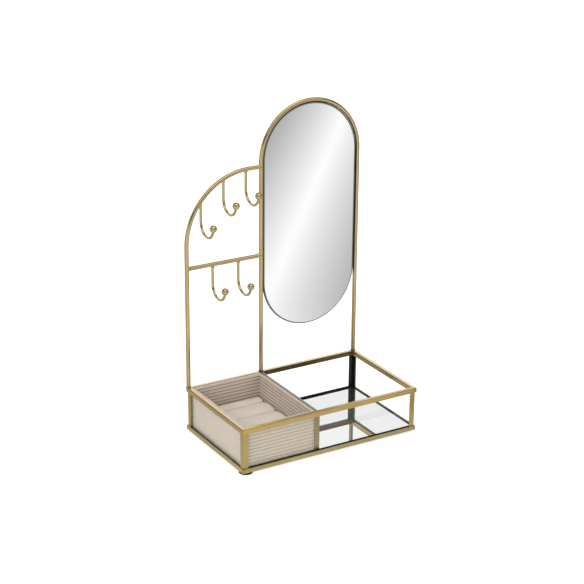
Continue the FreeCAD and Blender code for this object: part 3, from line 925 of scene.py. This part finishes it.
def sealing_bead(start, along, inwards, length, proud, width, low, rail):
    """A bead of sealant between a base rail and a pane. Its section is upright up to the rail's top and
    over it a quarter-round, width * (1 - cos(a)) in and proud * sin(a) up, which ends on the pane. The
    crest wavers along the pane by less than a tenth of its height, as two sines of the length."""
    a = np.linspace(0.0, math.pi / 2, 9)
    depth = np.concatenate([[0.0], 0.96 * width * (1 - np.cos(a))])
    lift = np.concatenate([[0.0], proud * np.sin(a)])
    upright = np.concatenate([[low], np.full(len(a), rail)])
    depth = np.concatenate([depth, np.full(len(depth), width)])
    lift = np.concatenate([lift, lift[::-1]])
    upright = np.concatenate([upright, upright[::-1]])
    run = np.linspace(0.0, length, 140)[:, None]
    waver = 1.0 + 0.04 * np.sin(310 * run + 40 * length) + 0.03 * np.sin(830 * run)
    spot = np.asarray(start) + run[..., None] * np.asarray(along)
    spot = spot + depth[:, None] * np.asarray(inwards)
    return spot + (upright + waver * lift)[..., None] * up_axis


seal_low, seal_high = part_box("base_seals")
post_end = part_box("post_front_left")[1]
bead_facts = (seal_high.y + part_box("glass_front")[0].y, seal_low.z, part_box("base_rail_front")[1].z)
front_run, side_run = -2 * post_end.x, -2 * post_end.y
# Front, right, back and left: start, the way along, the way inwards, length and crest height
bead_runs = (
    ((post_end.x, seal_low.y, 0), (1, 0, 0), (0, 1, 0), front_run, 1.25 * mm),
    ((seal_high.x, post_end.y, 0), (0, 1, 0), (-1, 0, 0), side_run, 0.65 * mm),
    ((-post_end.x, seal_high.y, 0), (-1, 0, 0), (0, -1, 0), front_run, 1.3 * mm),
    ((seal_low.x, -post_end.y, 0), (0, -1, 0), (1, 0, 0), side_run, 0.75 * mm),
)
seal_beads = solid(
    "laid_base_seals", [sealing_bead(*run, *bead_facts) for run in bead_runs], ladder=True)
smooth(seal_beads, 40)
settle(seal_beads, "box", "black_seal", seal_black, "base_seals")


# Finishes of the CAD nodes

def dress(material, *nodes):
    """Gives CAD nodes a finish."""
    for node in nodes:
        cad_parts[node].material_slots[0].material = material


for side, finish in brass_rims.items():
    dress(finish, "rim_" + side)
dress(brass_base_x, "base_rail_front", "base_rail_back")
dress(brass_base_y, "base_rail_left", "base_rail_right")
dress(brass_z, "post_front_left", "post_front_right", "post_back_left", "post_back_right")
dress(brass_dull, "divider_channel_front", "divider_channel_back")
dress(glass, "glass_front", "glass_right", "glass_back", "glass_left")
dress(divider_finish, "divider_glass")
dress(floor_silver, "floor_mirror")
dress(back_paint, "mirror_back")
dress(post_seal_black, "post_seals")
dress(seal_black, "rim_seals")
dress(board_black, "base_board")
dress(pad_velvet, "tray_base", "cushion_board")


# Studio

def studio_floor():
    """Pale floor. It is lit as matt white; the camera sees it lifted to the white of the backdrop, with
    the shadow kept; shiny surfaces see a grey floor that darkens from the camera's side to the far
    one and is lighter close to the box, and, where the stand mirror looks, a bright band whose grey
    falls off with the distance from its middle line and ends some two metres out."""
    half = 9.0
    corners = [(-half, -half, 0), (half, -half, 0), (half, half, 0), (-half, half, 0)]
    mesh = bpy.data.meshes.new("studio_floor")
    mesh.from_pydata(corners, [], [(0, 1, 2, 3)])
    floor = bpy.data.objects.new("studio_floor", mesh)
    bpy.context.scene.collection.objects.link(floor)
    material = bpy.data.materials.new("pale_floor")
    material.use_nodes = True
    tree = material.node_tree
    tree.nodes.clear()
    start = Signal(tree)
    x, y, z = start.node("ShaderNodeTexCoord", {}, {}, "Object").axes()
    camera = start.node("ShaderNodeLightPath", {}, {}, "Is Camera Ray")
    glossy = Signal(tree, camera.socket.node.outputs["Is Glossy Ray"])
    from_line = abs(0.781 * x + 0.625 * y + 0.0286)
    band = (1.01 - 2.51 * from_line).between(0.6, 1.0) ** 2.2
    far_side = math.radians(59)
    turn = start.math("ARCTAN2", y, x) - far_side
    ahead = 0.5 + 0.5 * start.math("COSINE", turn)
    leftward = start.math("SINE", turn)
    flank = 0.35 * leftward.step(0.3, 0.85) + 0.22 * (-1.0 * leftward).step(0.3, 0.85)
    plain = 0.78 - 0.80 * ahead + flank * ahead.step(0.45, 0.70) + 0.45 * ahead.step(0.86, 1.0)
    away = start.math("SQRT", x * x + y * y)
    in_front = 0.32 * (-1.0 * y).step(0.06, 0.075)
    on_left = 0.20 * (-1.0 * x).step(0.116, 0.124)
    beside = (in_front + on_left).between(0.0, 0.32)
    near = 0.18 * (1.0 - away.step(0.22, 0.40)) + beside * (1.0 - away.step(0.165, 0.22))
    plain = start.math("MAXIMUM", plain, 0.20 + near)
    mirrored = (-1.0 * y).step(0.165, 0.20) * (x + 0.598 * y).step(-0.015, 0.012)
    mirrored = mirrored * (1.0 - away.step(1.65, 2.6))
    seen = plain + mirrored * (band - plain)
    matt = start.node("ShaderNodeBsdfDiffuse", {}, {"Color": (0.86, 0.86, 0.86, 1.0)})
    white = camera * (0.62 + 0.3 * away.step(0.4, 2.5))
    lift = start.node("ShaderNodeEmission", {}, {"Color": (1, 1, 1, 1), "Strength": white})
    lit = start.node("ShaderNodeAddShader", {}, {0: matt, 1: lift})
    shown = start.node("ShaderNodeEmission", {}, {"Color": seen, "Strength": 1.0})
    mixed = start.node("ShaderNodeMixShader", {}, {0: glossy, 1: lit, 2: shown})
    output = tree.nodes.new("ShaderNodeOutputMaterial")
    tree.links.new(mixed.socket, output.inputs[0])
    floor.data.materials.append(material)


def studio_sky():
    """White to the camera, a soft grey light on matt surfaces, and to shiny ones a dim room with a
    white backdrop across from the camera, a lighter patch to the left of it, and three lamps:
    overhead, in front to the right, and to the left."""
    world = bpy.data.worlds.new("studio")
    bpy.context.scene.world = world
    world.use_nodes = True
    tree = world.node_tree
    back = next(n for n in tree.nodes if n.type == "BACKGROUND")
    start = Signal(tree)
    x, y, z = start.node("ShaderNodeTexCoord", {}, {}, "Generated").axes()
    path = start.node("ShaderNodeLightPath", {}, {}, "Is Camera Ray")
    glossy = Signal(tree, path.socket.node.outputs["Is Glossy Ray"])
    through = Signal(tree, path.socket.node.outputs["Is Transmission Ray"])
    across = 0.480 * x + 0.802 * y + 0.354 * z
    overhead = (-0.10 * x - 0.25 * y + 0.963 * z).step(0.86, 0.96)
    right_lamp = (0.45 * x - 0.50 * y + 0.74 * z).step(0.88, 0.97)
    left_lamp = (-0.62 * x - 0.41 * y + 0.67 * z).step(0.93, 0.98)
    ceiling = 0.42 * z.step(0.42, 0.60) * (-1.0 * y).step(-0.1, 0.3)
    horizon = 0.50 * (1.0 - z.step(0.02, 0.26))
    room = 0.09 + ceiling + horizon + 0.07 * (0.51 * y - 0.86 * x).step(0.0, 0.8)
    aside = 0.55 * (-0.510 * x + 0.775 * y + 0.374 * z).step(0.86, 0.97)
    lamps = 0.8 * overhead + 0.4 * right_lamp + 0.6 * left_lamp
    sky = (room + aside + 0.87 * across.step(0.78, 0.96)).between(0.0, 0.98) + lamps
    plain = 0.55
    level = plain + glossy * (sky - plain)
    level = level + (path + through).between(0.0, 1.0) * (1.0 - level)
    feed(tree, back.inputs["Color"], (1, 1, 1, 1))
    feed(tree, back.inputs["Strength"], level)


def standing(right, up, away, place):
    """The matrix of an object with these axes at a place."""
    return Matrix([[right[i], up[i], away[i], place[i]] for i in range(3)] + [[0, 0, 0, 1]])


def soft_box(name, place, aim, size, power):
    """A square lamp that faces a point and lights matt surfaces alone; shiny ones mirror the sky."""
    lamp = bpy.data.lights.new(name, "AREA")
    lamp.shape = "SQUARE"
    lamp.size = size
    lamp.energy = power
    body = bpy.data.objects.new(name, lamp)
    place = np.asarray(place, dtype=float)
    away = place - np.asarray(aim, dtype=float)
    away /= np.linalg.norm(away)
    right = np.cross((0, 0, 1), away)
    right /= np.linalg.norm(right)
    up = np.cross(away, right)
    body.matrix_world = standing(right, up, away, place)
    body.visible_glossy = False
    bpy.context.scene.collection.objects.link(body)


studio_floor()
studio_sky()
soft_box("key_left", (-2.2, -1.3, 1.25), (0, 0, 0.1), 1.3, 28.0)
soft_box("fill_right", (1.2, -2.1, 0.9), (0, 0, 0.1), 1.4, 11.0)
soft_box("overhead", (-0.1, -0.1, 2.3), (0, 0, 0.1), 1.2, 12.0)


# Camera

def photo_camera():
    """Camera at the photograph's place: 31 degrees round from the front to the left, 21 degrees down.
    The focal length was fitted in pixels of the photograph's frame."""
    around, down, roll = (math.radians(v) for v in (30.892, 20.75, 0.482))
    focal_pixels, frame_pixels, sensor = 1636.87, 584, 36.0
    ahead = np.array((
        math.sin(around) * math.cos(down), math.cos(around) * math.cos(down), -math.sin(down)))
    level = np.array((math.cos(around), -math.sin(around), 0.0))
    upward = np.cross(level, ahead)
    right = math.cos(roll) * level + math.sin(roll) * upward
    up = -math.sin(roll) * level + math.cos(roll) * upward
    place = (-0.9368, -1.5416, 0.8650)
    camera = bpy.data.cameras.new("photo_camera")
    camera.sensor_width = sensor
    camera.lens = sensor * focal_pixels / frame_pixels
    camera.clip_start, camera.clip_end = 0.05, 50.0
    body = bpy.data.objects.new("photo_camera", camera)
    body.matrix_world = standing(right, up, -ahead, place)
    bpy.context.scene.collection.objects.link(body)
    bpy.context.scene.camera = body


photo_camera()
bpy.context.scene.view_settings.view_transform = "Standard"
